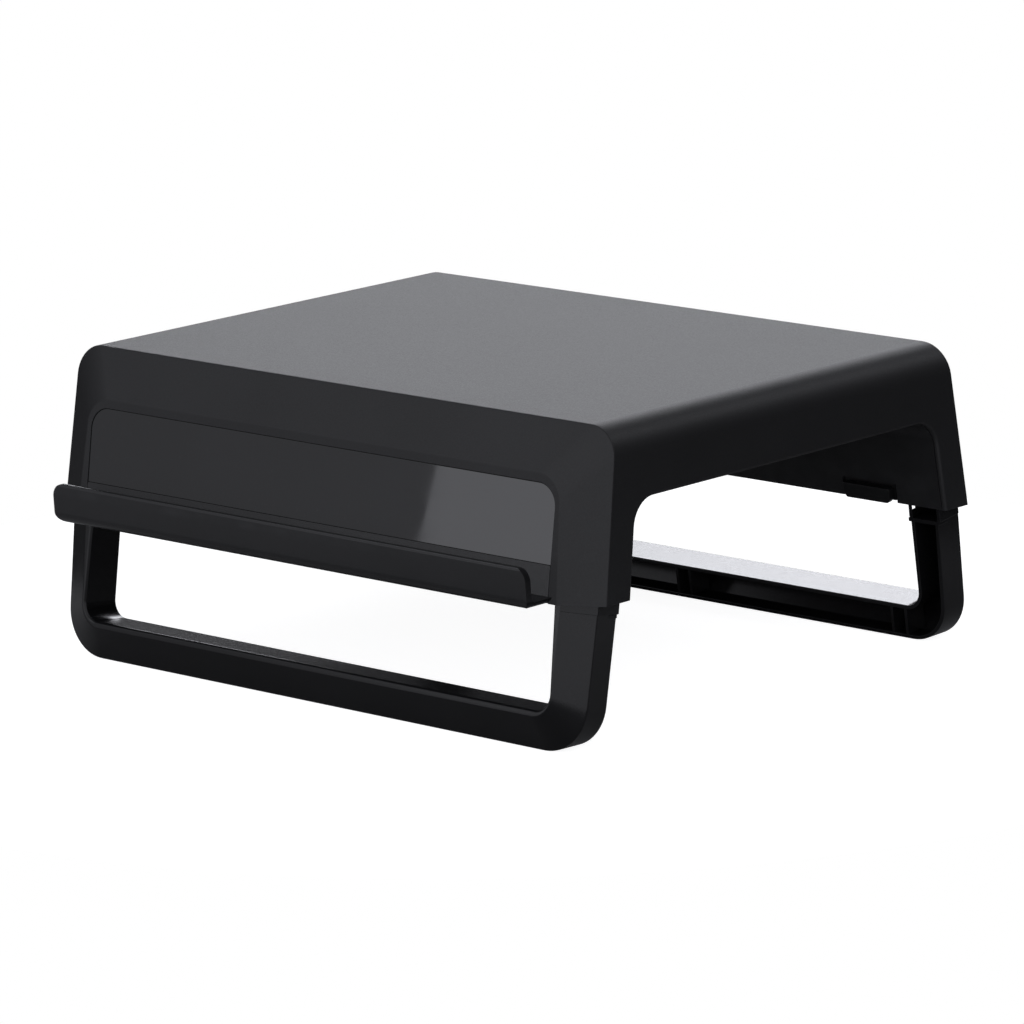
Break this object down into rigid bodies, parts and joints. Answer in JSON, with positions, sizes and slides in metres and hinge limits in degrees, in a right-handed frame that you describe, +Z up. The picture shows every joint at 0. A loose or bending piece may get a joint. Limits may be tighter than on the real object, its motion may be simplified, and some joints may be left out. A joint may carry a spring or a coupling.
{
  "type": "monitor riser stand",
  "caption": "Low monitor riser with a flat top, bevelled front with a glossy panel and device tray, and two loop leg frames that slide up into the cover.",
  "frame": {"origin": "on the floor under the middle of the stand's overall footprint, legs drawn out", "axes": "+X to the right along the front edge, +Y from the device tray towards the back, +Z up"},
  "size_m": [0.3658, 0.322, 0.157],
  "materials": {
    "cover_plastic": "fine satin grain",
    "leg_plastic": "smooth satin",
    "tray_plastic": "satin",
    "gloss_panel": "polished",
    "latch_plastic": "satin",
    "foot_rubber": "matte",
    "screw_steel": "plated"
  },
  "bodies": {
    "cover": {"outer_shell": "cover_plastic", "inner_shell": "cover_plastic", "device_panel": "gloss_panel", "device_tray": "tray_plastic", "keeper_front_left": "latch_plastic", "keeper_front_right": "latch_plastic", "keeper_rear_left": "latch_plastic", "keeper_rear_right": "latch_plastic", "shell_screws": "screw_steel", "keeper_screws": "screw_steel", "tray_screws": "screw_steel"},
    "front_frame": {"front_leg_frame": "leg_plastic", "foot_front_left": "foot_rubber", "foot_front_right": "foot_rubber"},
    "rear_frame": {"rear_leg_frame": "leg_plastic", "foot_rear_left": "foot_rubber", "foot_rear_right": "foot_rubber"},
    "front_left_latch": {"latch_front_left": "latch_plastic"},
    "front_right_latch": {"latch_front_right": "latch_plastic"},
    "rear_left_latch": {"latch_rear_left": "latch_plastic"},
    "rear_right_latch": {"latch_rear_right": "latch_plastic"}
  },
  "joints": [
    {"name": "front_frame_slide", "type": "slide", "parent": "cover", "child": "front_frame", "axis": [0, 0.1444, 0.9895], "range_m": [0, 0.04]},
    {"name": "rear_frame_slide", "type": "slide", "parent": "cover", "child": "rear_frame", "axis": [0, -0.1444, 0.9895], "range_m": [0, 0.04]},
    {"name": "front_left_latch_slide", "type": "slide", "parent": "cover", "child": "front_left_latch", "axis": [-1, 0, 0], "range_m": [0, 0.0024]},
    {"name": "front_right_latch_slide", "type": "slide", "parent": "cover", "child": "front_right_latch", "axis": [1, 0, 0], "range_m": [0, 0.0024]},
    {"name": "rear_left_latch_slide", "type": "slide", "parent": "cover", "child": "rear_left_latch", "axis": [-1, 0, 0], "range_m": [0, 0.0024]},
    {"name": "rear_right_latch_slide", "type": "slide", "parent": "cover", "child": "rear_right_latch", "axis": [1, 0, 0], "range_m": [0, 0.0024]}
  ]
}
